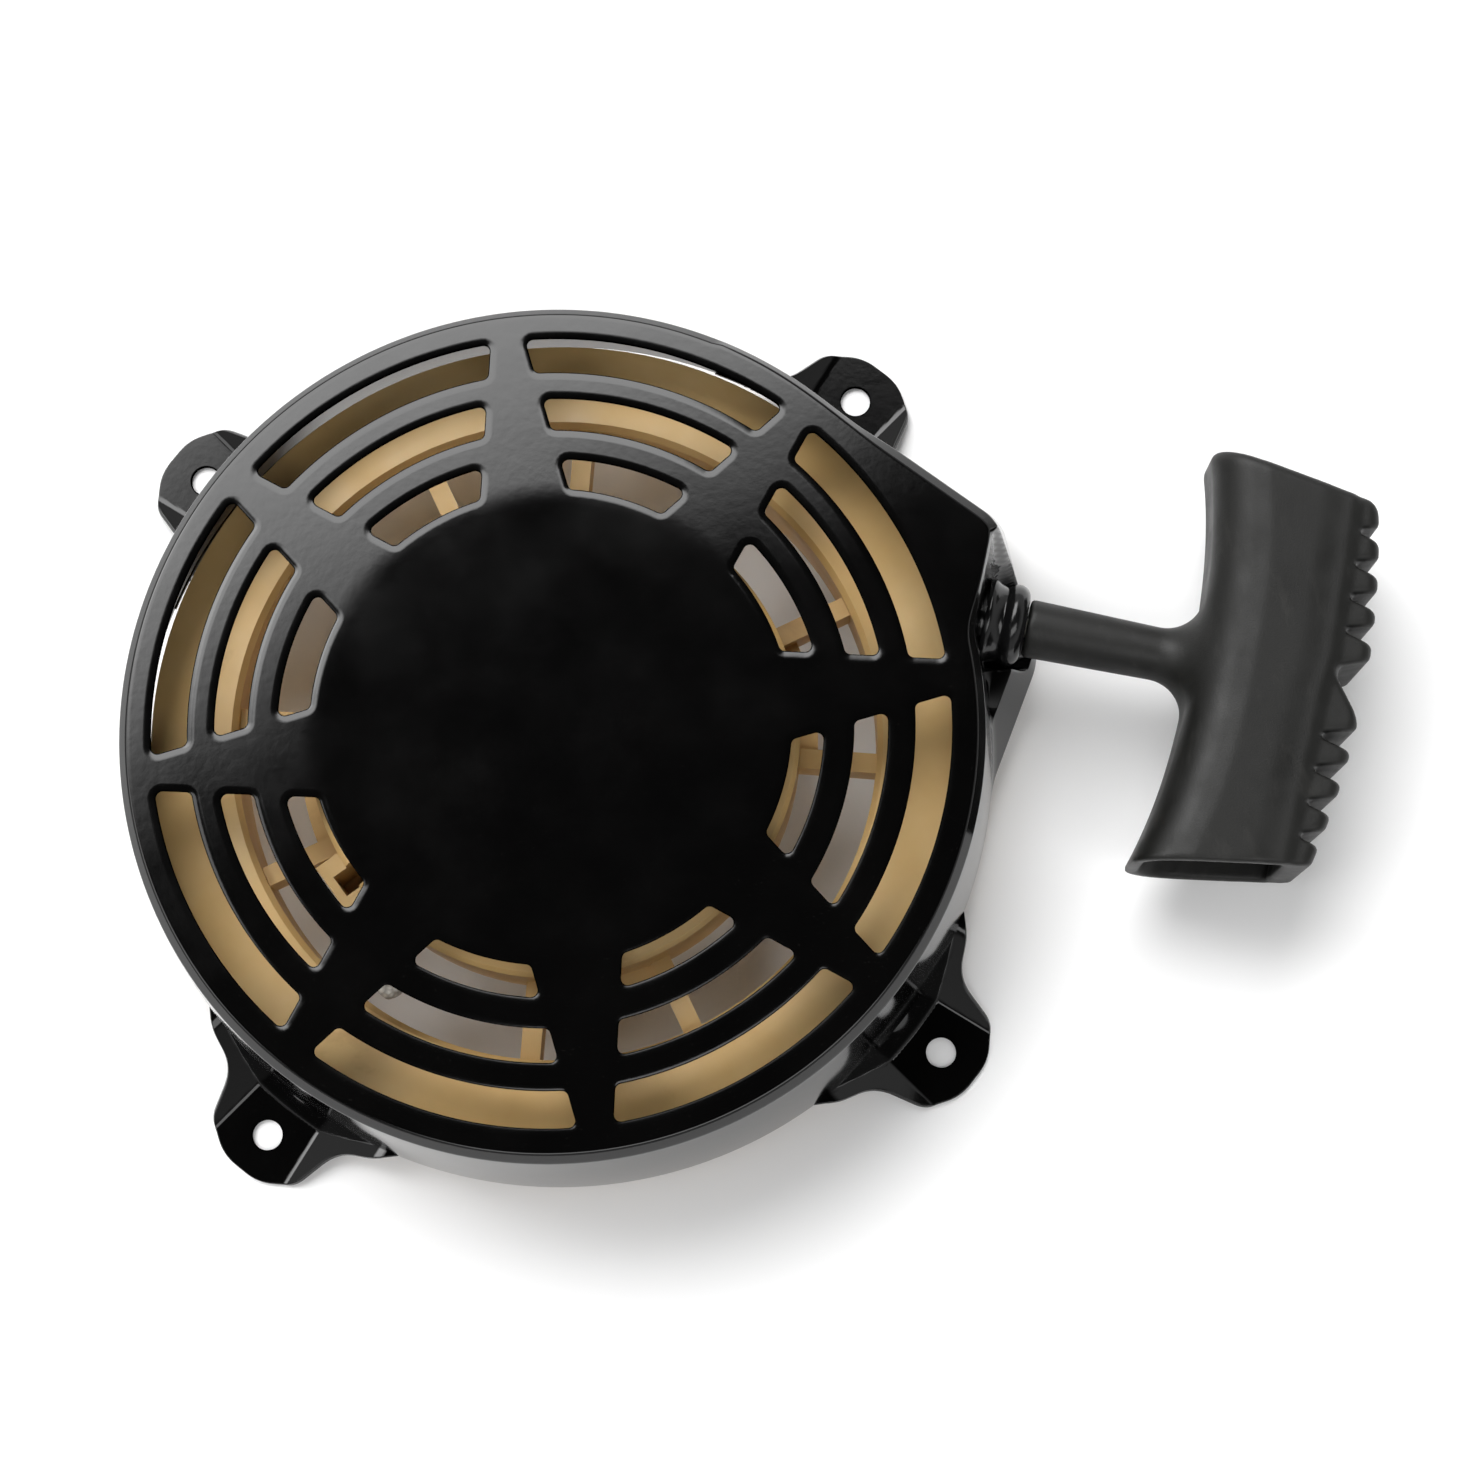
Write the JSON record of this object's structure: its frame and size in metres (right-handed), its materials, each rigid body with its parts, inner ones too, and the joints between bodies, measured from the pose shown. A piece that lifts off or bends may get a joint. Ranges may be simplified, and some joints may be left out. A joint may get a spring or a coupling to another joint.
{
  "type": "recoil starter",
  "caption": "Louvred round steel housing on mounting ears, with a spring-returned rope pulley, swinging pawls and a hollow T grip on its rope.",
  "frame": {"origin": "centre of the square of mounting holes, on the face that meets the engine", "axes": "+Z out through the louvred face along the pulley's axis; X and Y along the square of mounting holes, with the rope leaving on the +X side"},
  "size_m": [0.2862, 0.1968, 0.051],
  "materials": {
    "housing_enamel": "gloss black baked enamel on pressed steel",
    "guide_black": "very glossy black",
    "grip_rubber": "satin charcoal moulding",
    "natural_nylon": "satin natural nylon",
    "rope": "braided rope",
    "bright_steel": "turned",
    "plain_steel": "oiled sheet",
    "spring_steel": "blued spring steel",
    "zinc_steel": "bright zinc plate",
    "pawl_steel": "sintered steel",
    "washer_brass": "satin"
  },
  "bodies": {
    "housing": {"housing": "housing_enamel", "rope_guide": "guide_black", "centre_post": "bright_steel", "spring_anchor": "plain_steel", "retaining_ring": "spring_steel", "rope_lead": "rope", "brake_spring": "spring_steel", "brake_washer": "washer_brass", "screw_washer": "zinc_steel", "centre_screw": "zinc_steel"},
    "pulley": {"pulley": "natural_nylon", "spring_keeper": "plain_steel", "rewind_spring": "spring_steel", "post_washer": "zinc_steel", "rope_coil": "rope", "pulley_knot": "rope", "pawl_pins": "bright_steel", "pawl_spring_a": "spring_steel", "pawl_spring_b": "spring_steel"},
    "grip": {"rope_in_grip": "rope", "grip_knot": "rope", "grip": "grip_rubber", "grip_washer": "zinc_steel"},
    "pawl_a": {"pawl_a": "pawl_steel"},
    "pawl_b": {"pawl_b": "pawl_steel"},
    "friction_plate": {"friction_plate": "zinc_steel"}
  },
  "joints": [
    {"name": "pulley_spin", "type": "hinge", "parent": "housing", "child": "pulley", "pos_m": [0, 0, 0.024], "axis": [0, 0, -1], "range_deg": [0, 1300], "stiffness_Nm_per_rad": 0.045, "springref_deg": -716.2, "deforming": ["rewind_spring"]},
    {"name": "grip_pull", "type": "slide", "parent": "housing", "child": "grip", "axis": [0.9472, -0.3206, 0], "range_m": [0, 1.8]},
    {"name": "plate_turn", "type": "hinge", "parent": "pulley", "child": "friction_plate", "pos_m": [0, 0, 0.0096], "axis": [0, 0, 1], "range_deg": [0, 32], "stiffness_Nm_per_rad": 0.02, "springref_deg": -17.19},
    {"name": "pawl_a_swing", "type": "hinge", "parent": "pulley", "child": "pawl_a", "pos_m": [0.022, 0, 0.0142], "axis": [0, 0, 1], "range_deg": [0, 28]},
    {"name": "pawl_b_swing", "type": "hinge", "parent": "pulley", "child": "pawl_b", "pos_m": [-0.022, 0, 0.0142], "axis": [0, 0, 1], "range_deg": [0, 28]}
  ],
  "couplings": [
    {"joint": "grip_pull", "follows": "pulley_spin", "m_per_rad": 0.079},
    {"joint": "pawl_a_swing", "follows": "plate_turn", "ratio": 0.875},
    {"joint": "pawl_b_swing", "follows": "plate_turn", "ratio": 0.875}
  ]
}
